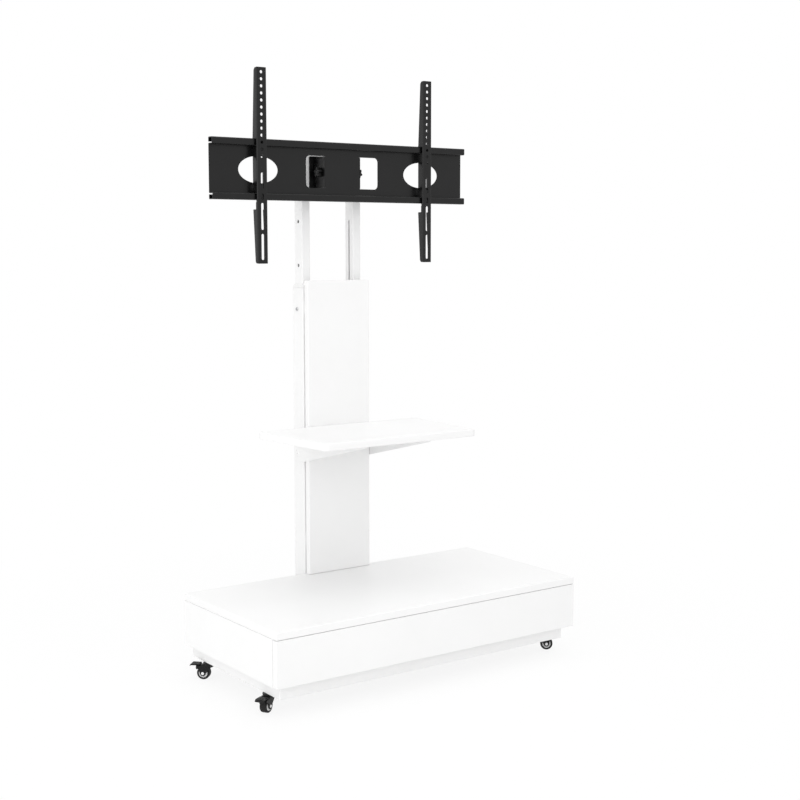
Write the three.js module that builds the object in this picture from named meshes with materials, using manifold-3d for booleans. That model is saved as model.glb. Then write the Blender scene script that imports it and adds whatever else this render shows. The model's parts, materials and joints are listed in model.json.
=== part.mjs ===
// A rolling television stand: low cabinet with a drawer, column with a shelf,
// telescoping mast, tilting cross plate and two screen arms.
// Millimetres, +X to the stand's right seen from the front, +Y to the back, +Z up.
// The origin lies on the floor under the middle of the whole stand.
import * as THREE from 'three';
import { mergeVertices } from 'three/addons/utils/BufferGeometryUtils.js';
import Module from 'manifold-3d';

const wasm = await Module();
wasm.setup();

// Driving dimensions
const SEAT = 0.3; // gap left between faces that meet
const FRONT = -221; // front face of the drawer
const BOARD = 16; // thickness of the cabinet boards
const BASE_HALF = 400; // half the cabinet's width
const BASE_DEPTH = 395;
const BASE_TOP = 185; // top of the cabinet
const CARCASS_BOTTOM = 69;
const PLINTH_BOTTOM = 39; // the casters' height
const BATTEN = 30; // width of a plinth batten
const PLINTH_INSET_SIDE = 18.6;
const PLINTH_INSET_FRONT = 20.8;
const SHADOW_GAP = 2.5; // dark line under the top board
const PUSH_GAP = 2; // travel of the push-to-open drawer front
const DRAWER_BOARD = 12;
const RUNNER_GAP = 13; // space for a runner beside the drawer box
const RUNNER_SHEET = 1.2;
const RUNNER_DEPTH = 8; // cabinet member, from its web to its open edge
const RAIL_IN_RUNNER = 6.5; // the same of the drawer member, which runs inside
const RUNNER_HALF = 19; // half the height of the cabinet member
const RUNNER_MIDDLE = 127;
const RUNNER_LENGTH = 350;

const PANEL_HALF = 85; // the column's front panel
const PANEL_THICKNESS = 15;
const PANEL_TOP = 868.5;
const POST_OUTER = { half: 15, depth: 45, wall: 1.5 }; // outer steel posts
const POST_INNER = { half: 11, depth: 33, wall: 1.5 }; // telescoping posts
const POST_X = 70; // middle of a post
const OUTER_TOP = 852; // outer tube without its collar
const COLLAR_TOP = 860;
const SKIRT = 38; // how far the collar reaches down into the tube
const POST_FOOT = 70;
const POST_BOLT_HEIGHTS = [95, 150];
const BRACE_HALF = 80; // flat bars between the panel and the posts
const BRACE_HEIGHT = 30;
const INNER_BOTTOM = 560;
const INNER_TOP = 1168;
const HOLE_PITCH = 100; // height steps of the mast
const LOCK_HEIGHT = 802.5; // height bolt

const SHELF_TOP = 532.6;
const SHELF_BACK_HALF = 222;
const SHELF_FRONT_HALF = 205;
const SHELF_DEPTH = 254.7;
const BRACKET_SHEET = 2.5;

const SHEET = 2; // steel of the cross plate and arms
const PLATE_HALF = 342.4; // half the cross plate's length
const PLATE_MIDDLE = 1113; // height of its middle, and of the tilt axis
const PLATE_HALF_HEIGHT = 66.2;
const RAIL_HEIGHT = 15;
const RAIL_DEPTH = 17.3;
const LIP = 10.4; // edge turned over at the back of each rail
const OVAL = { x: 221.3, halfLength: 49.9, halfHeight: 29.5 };
const WINDOW = { half: 98, halfHeight: 36, corner: 10 };
const CHEEK_HALF = 48.6; // outer faces of the cheeks
const TILT_TO_PLATE = 15.5; // tilt axis behind the plate's back
const CHEEK_DEPTH = 36.5; // from the plate's back to the cheeks' rear edges
const KNOB_LENGTH = 11.5;

const ARM_HALF = 13;
const ARM_LENGTH = 422.5;
const ARM_TOP = 1331;
const ARM_X = 224.5; // where the arms stand on the rails
const ARM_TO_RAIL = 7.2; // arm's front face ahead of the rails' front faces
const ARM_HOLES = 13;
const ARM_FIRST_HOLE = 10; // below the arm's top
const ARM_HOLE_PITCH = 15;
const ARM_HOLE = 3.4; // radius of a hole, and half the width of a slot
const ARM_SLOTS = [[1069, 1106], [1047.6, 1060.6], [982, 1040.5], [916.5, 973.5]];
const FLANGE = { deep: 18, slim: 10.3, low: 6.3 }; // depths of the arm's flanges
const FLANGE_STEP = 1026.5; // below it the flange is deep again
const FLANGE_AT_WEB = [1079.5, 1142.5]; // deep stretch between the two rails
const HOOK_HOLE = 11; // arm hole that takes the hook's screw, counted from 0

const CASTER_X = 372;
const CASTER_INSET = 58.5; // swivel axis from the plinth's front and back
const WHEEL_RADIUS = 14.5;
const WHEEL_WIDTH = 14;
const TRAIL = 12; // axle beside the swivel axis
const STEM_RADIUS = 4;
const STEM_TOP = 62;
const LEG_OUTER = WHEEL_WIDTH / 2 + 2.6; // outer face of a fork's leg
const PEDAL = { root: 19.5, tip: 44, half: 7, under: 34, top: 37.2 };
const SHOE_FRONT = 23.5;
const RIVET = { x: 25.5, z: 28.5 };

// Places worked out from the driving dimensions
const BASE_BACK = FRONT + BASE_DEPTH;
const TOP_UNDER = BASE_TOP - BOARD;
const INNER_HALF = BASE_HALF - BOARD; // inside of the side boards
const SIDE_FRONT = FRONT + BOARD + PUSH_GAP;
const CASTER_FRONT = FRONT + PLINTH_INSET_FRONT + CASTER_INSET;
const CASTER_BACK = BASE_BACK - CASTER_INSET;
const REAR = -FRONT; // back of the posts, and of the whole stand
const POST_FRONT = REAR - POST_OUTER.depth;
const PANEL_FRONT = 155;
const PANEL_BACK = PANEL_FRONT + PANEL_THICKNESS;
const MAST_FRONT = REAR - 4 - POST_INNER.depth;
const MAST_MIDDLE = MAST_FRONT + POST_INNER.depth / 2;
const SHELF_UNDER = SHELF_TOP - BOARD;
const PLATE_BACK = 139;
const RAIL_FRONT = PLATE_BACK - RAIL_DEPTH;
const TILT = { y: PLATE_BACK + TILT_TO_PLATE, z: PLATE_MIDDLE };
const ARM_FRONT = RAIL_FRONT - ARM_TO_RAIL;
const RAIL_TOP = PLATE_MIDDLE + PLATE_HALF_HEIGHT;
const RAIL_BOTTOM = PLATE_MIDDLE - PLATE_HALF_HEIGHT;
const LEFT = -1;
const RIGHT = 1;
const SIDES = [[LEFT, 'left'], [RIGHT, 'right']];

// Materials
const WHITE_BOARD = { color: 0xf7f7f5, roughness: 0.35, metalness: 0 };
const WHITE_STEEL = { color: 0xf4f4f2, roughness: 0.45, metalness: 0 };
const BLACK_STEEL = { color: 0x1c1c1e, roughness: 0.45, metalness: 0.2 };
const BLACK_PLASTIC = { color: 0x141415, roughness: 0.4, metalness: 0 };
const TYRE_BLACK = { color: 0x121212, roughness: 0.8, metalness: 0 };
const WHEEL_WHITE = { color: 0xe9e9e7, roughness: 0.3, metalness: 0 };
const ZINC = { color: 0xb9bbbe, roughness: 0.35, metalness: 1 };

// A named mesh from a geometry or a solid.
function piece(name, form, finish, group) {
  const geometry = form instanceof THREE.BufferGeometry ? welded(form) : toGeometry(form);
  const mesh = new THREE.Mesh(geometry, new THREE.MeshStandardMaterial({ ...finish, flatShading: true }));
  mesh.name = name;
  group.add(mesh);
  return mesh;
}

// The same geometry with shared vertices and no flat triangles, faces out.
function welded(geometry) {
  const bare = geometry.clone();
  bare.deleteAttribute('normal');
  bare.deleteAttribute('uv');
  const merged = mergeVertices(bare, 1e-4);
  const index = Array.from(merged.index.array);
  const kept = [];
  for (let i = 0; i < index.length; i += 3) {
    const [a, b, c] = index.slice(i, i + 3);
    if (a !== b && b !== c && c !== a) {
      kept.push(a, b, c);
    }
  }
  merged.setIndex(signedVolume(merged, kept) < 0 ? kept.reverse() : kept);
  return merged;
}

function signedVolume(geometry, index) {
  const position = geometry.getAttribute('position');
  const corners = index.map((i) => new THREE.Vector3().fromBufferAttribute(position, i));
  let volume = 0;
  for (let i = 0; i < corners.length; i += 3) {
    volume += corners[i].dot(corners[i + 1].clone().cross(corners[i + 2])) / 6;
  }
  return volume;
}

function toSolid(form) {
  if (!(form instanceof THREE.BufferGeometry)) {
    return form;
  }
  const closed = welded(form);
  const vertProperties = new Float32Array(closed.getAttribute('position').array);
  const triVerts = new Uint32Array(closed.index.array);
  return new wasm.Manifold(new wasm.Mesh({ numProp: 3, vertProperties, triVerts }));
}

function toGeometry(solid) {
  const { vertProperties, triVerts } = solid.getMesh();
  const geometry = new THREE.BufferGeometry();
  geometry.setAttribute('position', new THREE.BufferAttribute(new Float32Array(vertProperties), 3));
  geometry.setIndex(Array.from(triVerts));
  return geometry;
}

function join(...forms) {
  return forms.map(toSolid).reduce((whole, part) => whole.add(part));
}

function cut(form, ...tools) {
  return tools.map(toSolid).reduce((whole, tool) => whole.subtract(tool), toSolid(form));
}

// Closed outline through the points, with every corner rounded by the radius.
function outline(points, radius = 0) {
  const shape = new THREE.Shape();
  points.forEach(([x, y], index) => {
    const corner = new THREE.Vector2(x, y);
    const before = new THREE.Vector2(...points.at(index - 1)).sub(corner);
    const after = new THREE.Vector2(...points[(index + 1) % points.length]).sub(corner);
    const reach = radius / Math.tan(before.angleTo(after) / 2);
    const start = corner.clone().addScaledVector(before.normalize(), reach);
    const end = corner.clone().addScaledVector(after.normalize(), reach);
    if (index === 0) {
      shape.moveTo(start.x, start.y);
    } else {
      shape.lineTo(start.x, start.y);
    }
    if (radius > 0) {
      shape.quadraticCurveTo(x, y, end.x, end.y);
    }
  });
  shape.closePath();
  return shape;
}

function rectangle(x0, x1, y0, y1, radius = 0) {
  return outline([[x0, y0], [x1, y0], [x1, y1], [x0, y1]], radius);
}

function circle(x, y, radius) {
  const shape = new THREE.Shape();
  shape.absarc(x, y, radius, 0, 2 * Math.PI, false);
  return shape;
}

// Slot standing upright in the second coordinate; y0 and y1 are the middles of its round ends.
function slot(x, y0, y1, halfWidth) {
  const steps = 4;
  const points = [[y0, Math.PI], [y1, 0]].flatMap(([y, first]) =>
    Array.from({ length: steps + 1 }, (_, i) => {
      const angle = first + (i * Math.PI) / steps;
      return new THREE.Vector2(x + halfWidth * Math.cos(angle), y + halfWidth * Math.sin(angle));
    }),
  );
  return new THREE.Shape(points);
}

// Outline of a bent strip of sheet whose middle line runs through the points.
function bentSheet(points, thickness, radius = thickness, steps = 2) {
  const line = [new THREE.Vector2(...points[0])];
  for (let i = 1; i < points.length - 1; i += 1) {
    const corner = new THREE.Vector2(...points[i]);
    const [start, end] = [points[i - 1], points[i + 1]].map((next) => {
      const way = new THREE.Vector2(...next).sub(corner).normalize();
      return corner.clone().addScaledVector(way, radius);
    });
    line.push(...new THREE.QuadraticBezierCurve(start, corner, end).getPoints(steps));
  }
  line.push(new THREE.Vector2(...points.at(-1)));
  const left = [];
  const right = [];
  line.forEach((point, i) => {
    const ahead = line[Math.min(i + 1, line.length - 1)];
    const behind = line[Math.max(i - 1, 0)];
    const along = ahead.clone().sub(behind).normalize();
    const side = new THREE.Vector2(-along.y, along.x).multiplyScalar(thickness / 2);
    left.push(point.clone().add(side));
    right.unshift(point.clone().sub(side));
  });
  return new THREE.Shape([...left, ...right]);
}

// Extrusions: the outline lies across the axis that the name gives, and its edges may be softened.
function alongZ(shape, z0, z1, edge = 0, curveSegments = 6) {
  const geometry = new THREE.ExtrudeGeometry(shape, {
    depth: z1 - z0 - 2 * edge,
    bevelEnabled: edge > 0,
    bevelThickness: edge,
    bevelSize: edge,
    bevelOffset: -edge,
    bevelSegments: 1,
    curveSegments,
  });
  return geometry.translate(0, 0, z0 + edge);
}

function alongX(shape, x0, x1, edge = 0, curveSegments = 6) {
  const turn = new THREE.Matrix4().makeBasis(
    new THREE.Vector3(0, 1, 0),
    new THREE.Vector3(0, 0, 1),
    new THREE.Vector3(1, 0, 0),
  );
  return alongZ(shape, x0, x1, edge, curveSegments).applyMatrix4(turn);
}

function alongY(shape, y0, y1, edge = 0, curveSegments = 6) {
  const turn = new THREE.Matrix4().makeBasis(
    new THREE.Vector3(1, 0, 0),
    new THREE.Vector3(0, 0, 1),
    new THREE.Vector3(0, -1, 0),
  );
  return alongZ(shape, -y1, -y0, edge, curveSegments).applyMatrix4(turn);
}

// Board with softened edges, from its lowest to its highest corner.
function board(x0, x1, y0, y1, z0, z1, edge = 0.8) {
  return alongZ(rectangle(x0, x1, y0, y1, edge), z0, z1, edge, 1);
}

// Round form about the Z axis from a profile of radius and height.
function turned(profile, sides = 20) {
  const points = profile.map(([radius, height]) => new THREE.Vector2(radius, height));
  return new THREE.LatheGeometry(points, sides).rotateX(Math.PI / 2);
}

// Turns a form made about the Z axis so that its height runs along +X, -X or +Y.
function facingX(geometry, sign) {
  return geometry.rotateY((sign * Math.PI) / 2);
}

function facingY(geometry) {
  return geometry.rotateX(-Math.PI / 2);
}

// Round bar along an axis, through the point with the other two coordinates in their order.
function rod(axis, a, b, from, to, radius, sides = 12) {
  const bar = turned([[0, from], [radius, from], [radius, to], [0, to]], sides);
  if (axis === 'x') {
    return facingX(bar, RIGHT).translate(0, a, b);
  }
  if (axis === 'y') {
    return facingY(bar).translate(a, 0, b);
  }
  return bar.translate(a, b, 0);
}

// Rectangular tube, upright.
function uprightTube(x, y0, z0, z1, { half, depth, wall }) {
  const shape = rectangle(x - half, x + half, y0, y0 + depth, 2.5);
  const bore = rectangle(x - half + wall, x + half - wall, y0 + wall, y0 + depth - wall, 1);
  shape.holes.push(bore);
  return alongZ(shape, z0, z1, 0, 2);
}

// Low screw head with a shank behind it, about the Z axis.
// The head's underside is at height 0 and the shank runs down from there.
function screw(headRadius, headHeight, shankRadius, shankLength) {
  return turned([
    [0, -shankLength],
    [shankRadius, -shankLength],
    [shankRadius, 0],
    [headRadius, 0],
    [headRadius * 0.75, headHeight],
    [0, headHeight],
  ], 8);
}

function cabinet() {
  const group = new THREE.Group();
  const inside = INNER_HALF - SEAT;
  const backFront = BASE_BACK - BOARD;
  const top = board(-BASE_HALF, BASE_HALF, FRONT, BASE_BACK, TOP_UNDER, BASE_TOP, 1.2);
  piece('top_board', top, WHITE_BOARD, group);
  const bottom = board(-inside, inside, SIDE_FRONT, backFront - SEAT, CARCASS_BOTTOM, CARCASS_BOTTOM + BOARD);
  piece('bottom_board', bottom, WHITE_BOARD, group);
  const back = board(-inside, inside, backFront, BASE_BACK, CARCASS_BOTTOM, TOP_UNDER - SEAT);
  const bolts = [LEFT, RIGHT].flatMap((side) => postBoltHoles(side, backFront - 1, BASE_BACK + 1));
  piece('back_board', cut(back, ...bolts), WHITE_BOARD, group);
  for (const [side, name] of SIDES) {
    piece(`side_${name}`, sideBoard(side), WHITE_BOARD, group);
    const web = INNER_HALF - SEAT - RUNNER_SHEET / 2;
    piece(`runner_${name}`, runner(side, web, -RUNNER_DEPTH, RUNNER_HALF), ZINC, group);
  }
  piece('plinth', plinth(), WHITE_BOARD, group);
  return group;
}

// Glued frame of four battens, with a bore for each caster's stem.
function plinth() {
  const half = BASE_HALF - PLINTH_INSET_SIDE;
  const front = FRONT + PLINTH_INSET_FRONT;
  const frame = rectangle(-half, half, front, BASE_BACK, 1);
  frame.holes.push(rectangle(-half + BATTEN, half - BATTEN, front + BATTEN, BASE_BACK - BATTEN));
  const bores = [CASTER_FRONT, CASTER_BACK].flatMap((y) =>
    [-CASTER_X, CASTER_X].map((x) => rod('z', x, y, PLINTH_BOTTOM - 1, STEM_TOP + 0.5, STEM_RADIUS + 0.4)),
  );
  return cut(alongZ(frame, PLINTH_BOTTOM, CARCASS_BOTTOM - SEAT, 0.8, 1), ...bores);
}

// Side board with a groove under the top board, which carries on the drawer's shadow gap.
function sideBoard(side) {
  const grooveDepth = 3;
  const profile = outline([
    [side * INNER_HALF, CARCASS_BOTTOM],
    [side * BASE_HALF, CARCASS_BOTTOM],
    [side * BASE_HALF, TOP_UNDER - SHADOW_GAP],
    [side * (BASE_HALF - grooveDepth), TOP_UNDER - SHADOW_GAP],
    [side * (BASE_HALF - grooveDepth), TOP_UNDER - SEAT],
    [side * INNER_HALF, TOP_UNDER - SEAT],
  ]);
  return alongY(profile, SIDE_FRONT, BASE_BACK);
}

// One member of a drawer runner: a steel channel with its web at x, open by the given depth.
function runner(side, x, depth, halfHeight) {
  const profile = bentSheet([
    [side * (x + depth), RUNNER_MIDDLE + halfHeight],
    [side * x, RUNNER_MIDDLE + halfHeight],
    [side * x, RUNNER_MIDDLE - halfHeight],
    [side * (x + depth), RUNNER_MIDDLE - halfHeight],
  ], RUNNER_SHEET);
  return alongY(profile, SIDE_FRONT + 6, SIDE_FRONT + RUNNER_LENGTH);
}

function drawer() {
  const group = new THREE.Group();
  const half = INNER_HALF - RUNNER_GAP;
  const front = FRONT + BOARD + SEAT;
  const back = BASE_BACK - BOARD - 12;
  const bottom = 92;
  const top = 160;
  const frontTop = TOP_UNDER - SHADOW_GAP;
  const frontBoard = board(-BASE_HALF, BASE_HALF, FRONT, FRONT + BOARD, CARCASS_BOTTOM, frontTop);
  piece('drawer_front', frontBoard, WHITE_BOARD, group);
  for (const [side, name] of SIDES) {
    const x = side === LEFT ? -half : half - DRAWER_BOARD;
    piece(`drawer_${name}`, board(x, x + DRAWER_BOARD, front, back, bottom, top), WHITE_BOARD, group);
    const web = half + SEAT + RUNNER_SHEET / 2;
    const railHalf = RUNNER_HALF - RUNNER_SHEET - 2 * SEAT;
    piece(`drawer_rail_${name}`, runner(side, web, RAIL_IN_RUNNER, railHalf), ZINC, group);
  }
  const between = half - DRAWER_BOARD - SEAT;
  piece('drawer_back', board(-between, between, back - DRAWER_BOARD, back, bottom, top), WHITE_BOARD, group);
  const panel = board(-between, between, front, back - DRAWER_BOARD - SEAT, bottom + 4, bottom + 10, 0.4);
  piece('drawer_bottom', panel, WHITE_BOARD, group);
  return group;
}

function postBoltHoles(side, y0, y1) {
  return POST_BOLT_HEIGHTS.map((z) => rod('y', side * POST_X, z, y0, y1, 4.4));
}

function column() {
  const group = new THREE.Group();
  const panel = board(-PANEL_HALF, PANEL_HALF, PANEL_FRONT, PANEL_BACK, BASE_TOP + SEAT, PANEL_TOP, 1.2);
  piece('column_panel', panel, WHITE_BOARD, group);
  for (const [name, z] of [['low', 250], ['high', 790]]) {
    const [front, back] = [PANEL_BACK + SEAT, POST_FRONT - SEAT];
    const brace = board(-BRACE_HALF, BRACE_HALF, front, back, z, z + BRACE_HEIGHT, 0.5);
    piece(`brace_${name}`, brace, WHITE_STEEL, group);
  }
  for (const [side, name] of SIDES) {
    piece(`outer_post_${name}`, outerPost(side), WHITE_STEEL, group);
    piece(`collar_${name}`, collar(side), WHITE_STEEL, group);
    const bolt = facingX(screw(4.6, 2.6, 3, PANEL_HALF - POST_X - POST_INNER.half - SEAT), side);
    bolt.translate(side * (PANEL_HALF + SEAT), MAST_MIDDLE, LOCK_HEIGHT);
    piece(`height_bolt_${name}`, bolt, ZINC, group);
  }
  return group;
}

// Outer steel post with its two through bolts, which stand off the cabinet's back on spacers.
function outerPost(side) {
  const tube = uprightTube(side * POST_X, POST_FRONT, POST_FOOT, OUTER_TOP, POST_OUTER);
  const outerWall = side * (PANEL_HALF - POST_OUTER.wall / 2);
  const drills = [[MAST_MIDDLE, LOCK_HEIGHT], ...shelfBoltPlaces()].map(([y, z]) =>
    rod('x', y, z, outerWall - 3, outerWall + 3, 3.4),
  );
  const bolts = POST_BOLT_HEIGHTS.map((z) => postBolt(side * POST_X, z));
  return join(cut(tube, ...drills), ...bolts);
}

// Through bolt seen from the side: nut inside the cabinet, spacer behind it, head on the post.
function postBolt(x, z) {
  const boardFront = BASE_BACK - BOARD;
  const shank = 4;
  const nut = { radius: 6.5, front: boardFront - 6.5 };
  const spacer = 8;
  const cap = { radius: 7, height: 2.6, overlap: 1 };
  const profile = [
    [0, nut.front - 2.5],
    [shank, nut.front - 2.5],
    [shank, nut.front],
    [nut.radius, nut.front],
    [nut.radius, boardFront - SEAT],
    [shank, boardFront - SEAT],
    [shank, BASE_BACK + SEAT],
    [spacer, BASE_BACK + SEAT],
    [spacer, POST_FRONT + 0.5],
    [shank, POST_FRONT + 0.5],
    [shank, REAR - cap.overlap],
    [cap.radius, REAR - cap.overlap],
    [cap.radius, REAR + cap.height / 2],
    [cap.radius - 2, REAR + cap.height],
    [0, REAR + cap.height],
  ];
  return facingY(turned(profile, 8)).translate(x, 0, z);
}

// Guide collar: a rim with a chamfer on the tube, and a skirt inside it round the inner post.
function collar(side) {
  const { half, depth, wall } = POST_OUTER;
  const x = side * POST_X;
  const chamfer = 3.5;
  const plan = rectangle(x - half, x + half, POST_FRONT, REAR, chamfer + 1);
  const rim = alongZ(plan, OUTER_TOP + SEAT, COLLAR_TOP - chamfer, 0, 2);
  const cap = alongZ(plan, COLLAR_TOP - 2 * chamfer - 0.5, COLLAR_TOP, chamfer, 2);
  const fit = wall + SEAT;
  const skirtPlan = rectangle(x - half + fit, x + half - fit, POST_FRONT + fit, POST_FRONT + depth - fit, 1);
  const skirt = alongZ(skirtPlan, OUTER_TOP - SKIRT, OUTER_TOP + 2, 0, 1);
  const slide = POST_INNER.half + SEAT;
  const bore = rectangle(x - slide, x + slide, MAST_FRONT - SEAT, MAST_FRONT + POST_INNER.depth + SEAT, 2.5);
  return cut(join(rim, cap, skirt), alongZ(bore, OUTER_TOP - SKIRT - 5, COLLAR_TOP + 5, 0, 3));
}

function shelf() {
  const group = new THREE.Group();
  const back = PANEL_FRONT - SEAT;
  const front = back - SHELF_DEPTH;
  const plan = outline([
    [-SHELF_BACK_HALF, back],
    [-SHELF_FRONT_HALF, front],
    [SHELF_FRONT_HALF, front],
    [SHELF_BACK_HALF, back],
  ], 14);
  const drills = [LEFT, RIGHT].flatMap((side) =>
    shelfScrewPlaces(side).map(([x, y]) => rod('z', x, y, SHELF_UNDER - 1, SHELF_UNDER + 12, 2.4, 8)),
  );
  piece('shelf_board', cut(alongZ(plan, SHELF_UNDER, SHELF_TOP, 1.2, 4), ...drills), WHITE_BOARD, group);
  for (const [side, name] of SIDES) {
    piece(`shelf_bracket_${name}`, shelfBracket(side), WHITE_STEEL, group);
  }
  return group;
}

function shelfBoltPlaces() {
  return [468, 503].map((z) => [MAST_MIDDLE, z]);
}

function shelfScrewPlaces(side) {
  return [-50, 120].map((y) => [side * (PANEL_HALF + 12), y]);
}

// Bent steel bracket: a tapering cheek on the post's side and a flange under the board,
// with its bolts into the post and its screws up into the board.
function shelfBracket(side) {
  const flangeTop = SHELF_UNDER - SEAT;
  const tip = -82;
  const low = 449;
  const back = REAR - 6;
  const inner = PANEL_HALF + SEAT;
  const outer = inner + BRACKET_SHEET;
  const cheek = outline([
    [tip, flangeTop],
    [tip, flangeTop - 5],
    [POST_FRONT - 2, low],
    [back, low],
    [back, flangeTop],
  ]);
  const flangeOuter = inner + 22;
  const flange = rectangle(
    Math.min(side * inner, side * flangeOuter),
    Math.max(side * inner, side * flangeOuter),
    tip,
    PANEL_FRONT - 4,
  );
  const bolts = shelfBoltPlaces().map(([y, z]) =>
    facingX(screw(5, 2.6, 3, BRACKET_SHEET + POST_OUTER.wall + 1.5), side).translate(side * outer, y, z),
  );
  const screws = shelfScrewPlaces(side).map(([x, y]) =>
    screw(4, 2.2, 2, BRACKET_SHEET + 11).rotateX(Math.PI).translate(x, y, flangeTop - BRACKET_SHEET),
  );
  const x0 = side === LEFT ? -outer : inner;
  return join(
    alongX(cheek, x0, x0 + BRACKET_SHEET),
    alongZ(flange, flangeTop - BRACKET_SHEET, flangeTop),
    ...bolts,
    ...screws,
  );
}

function mast() {
  const group = new THREE.Group();
  for (const [side, name] of SIDES) {
    piece(`inner_post_${name}`, innerPost(side), WHITE_STEEL, group);
    piece(`post_cap_${name}`, postCap(side * POST_X), WHITE_STEEL, group);
  }
  const barHalf = POST_X - POST_INNER.half - SEAT;
  const barTop = PLATE_MIDDLE + 50;
  const barBottom = PLATE_MIDDLE - 47;
  const barFront = MAST_FRONT + SHEET / 2;
  const barSection = bentSheet([
    [barFront + 20, barBottom],
    [barFront, barBottom],
    [barFront, barTop],
    [barFront + 20, barTop],
  ], SHEET);
  const drills = bracketBoltPlaces().map(([x, z]) => rod('y', x, z, MAST_FRONT - 2, MAST_FRONT + 4, 3.4));
  piece('cross_bar', cut(alongX(barSection, -barHalf, barHalf), ...drills), WHITE_STEEL, group);
  piece('pivot_bracket', pivotBracket(), BLACK_STEEL, group);
  return group;
}

// Telescoping post: adjusting holes in its outer wall and a long slot in its inner wall.
function innerPost(side) {
  const tube = uprightTube(side * POST_X, MAST_FRONT, INNER_BOTTOM, INNER_TOP, POST_INNER);
  const outerWall = side * (POST_X + POST_INNER.half);
  const innerWall = side * (POST_X - POST_INNER.half);
  const holes = [-1, 0, 1, 2].map((step) =>
    rod('x', MAST_MIDDLE, LOCK_HEIGHT + step * HOLE_PITCH, outerWall - 4, outerWall + 4, 4),
  );
  const slotShape = slot(MAST_MIDDLE, INNER_BOTTOM + 30, 1005, 5);
  return cut(tube, ...holes, alongX(slotShape, innerWall - 4, innerWall + 4, 0, 5));
}

function postCap(x) {
  const { half, depth, wall } = POST_INNER;
  const fit = wall + SEAT;
  const back = MAST_FRONT + depth;
  const lidPlan = rectangle(x - half, x + half, MAST_FRONT, back, 2.5);
  const lid = alongZ(lidPlan, INNER_TOP + SEAT, INNER_TOP + 3, 0.8, 2);
  const plug = rectangle(x - half + fit, x + half - fit, MAST_FRONT + fit, back - fit, 1);
  return join(lid, alongZ(plug, INNER_TOP - 12, INNER_TOP + 1, 0, 1));
}

function bracketBoltPlaces() {
  return [LEFT, RIGHT].flatMap((side) => [-27, 27].map((dz) => [side * 27, PLATE_MIDDLE + dz]));
}

// Black bracket on the mast, with its bolts: a base across both posts and two ears
// that carry the tilt axis.
function pivotBracket() {
  const baseBack = MAST_FRONT - SEAT;
  const baseFront = baseBack - 2.7;
  const baseHalf = 61;
  const basePlan = rectangle(-baseHalf, baseHalf, PLATE_MIDDLE - 35, PLATE_MIDDLE + 37, 2);
  const base = alongY(basePlan, baseFront, baseBack, 0, 2);
  const noseRadius = 13;
  const ear = new THREE.Shape();
  ear.moveTo(baseBack - 1, TILT.z - 22);
  ear.lineTo(baseBack - 1, TILT.z + 22);
  ear.lineTo(TILT.y, TILT.z + noseRadius);
  ear.absarc(TILT.y, TILT.z, noseRadius, Math.PI / 2, (3 * Math.PI) / 2, false);
  ear.closePath();
  const outer = CHEEK_HALF - SHEET - SEAT;
  const ears = [-outer, outer - BRACKET_SHEET].map((x) => alongX(ear, x, x + BRACKET_SHEET, 0, 6));
  const bolts = bracketBoltPlaces().map(([x, z]) =>
    facingY(screw(5, 2.8, 3, 9)).rotateZ(Math.PI).translate(x, baseFront, z),
  );
  return join(base, cut(join(...ears), tiltHole()), ...bolts);
}

function tiltHole() {
  return rod('x', TILT.y, TILT.z, -60, 60, 4, 16);
}

function head() {
  const group = new THREE.Group();
  piece('cross_plate', crossPlate(), BLACK_STEEL, group);
  const inner = CHEEK_HALF + SEAT;
  const stud = rod('x', TILT.y, TILT.z, -inner - 2, inner + 8, 3.6, 14);
  piece('tilt_knob_left', join(starKnob(-inner - KNOB_LENGTH, -inner), stud), BLACK_PLASTIC, group);
  const thread = rod('x', TILT.y, TILT.z, inner - 1, inner + 9, 4, 14);
  piece('tilt_knob_right', cut(starKnob(inner, inner + KNOB_LENGTH), thread), BLACK_PLASTIC, group);
  return group;
}

// Knob with five lobes; a sine wave on its radius draws them.
function starKnob(x0, x1) {
  const lobes = 5;
  const radius = 9;
  const wave = 2.2;
  const steps = 30;
  const points = Array.from({ length: steps }, (_, i) => {
    const angle = (2 * Math.PI * i) / steps;
    const reach = radius + wave * Math.cos(lobes * angle);
    return new THREE.Vector2(TILT.y + reach * Math.cos(angle), TILT.z + reach * Math.sin(angle));
  });
  return alongX(new THREE.Shape(points), x0, x1, 1.2);
}

// Pressed steel cross plate. The sheet runs from the lower back lip round the lower rail,
// up the web and round the upper rail; the cheeks are folded back out of the window.
function crossPlate() {
  const mid = SHEET / 2;
  const backLine = PLATE_BACK - mid;
  const frontLine = RAIL_FRONT + mid;
  const section = bentSheet([
    [backLine, RAIL_BOTTOM + LIP],
    [backLine, RAIL_BOTTOM + mid],
    [frontLine, RAIL_BOTTOM + mid],
    [frontLine, RAIL_BOTTOM + RAIL_HEIGHT - mid],
    [backLine, RAIL_BOTTOM + RAIL_HEIGHT - mid],
    [backLine, RAIL_TOP - RAIL_HEIGHT + mid],
    [frontLine, RAIL_TOP - RAIL_HEIGHT + mid],
    [frontLine, RAIL_TOP - mid],
    [backLine, RAIL_TOP - mid],
    [backLine, RAIL_TOP - LIP],
  ], SHEET, 1.6);
  const front = PLATE_BACK - SHEET - 1;
  const behind = PLATE_BACK + 1;
  const openings = [LEFT, RIGHT].flatMap((side) => {
    const oval = new THREE.Shape();
    oval.absellipse(side * OVAL.x, PLATE_MIDDLE, OVAL.halfLength, OVAL.halfHeight, 0, 2 * Math.PI, false, 0);
    return [alongY(oval, front, behind, 0, 18), alongY(windowOutline(side), front, behind, 0, 4)];
  });
  const plate = cut(alongX(section, -PLATE_HALF, PLATE_HALF), ...openings);
  const cheeks = [LEFT, RIGHT].map((side) => {
    const x0 = side === LEFT ? -CHEEK_HALF : CHEEK_HALF - SHEET;
    return alongX(cheekOutline(), x0, x0 + SHEET, 0, 4);
  });
  return cut(join(plate, ...cheeks), tiltHole());
}

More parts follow.
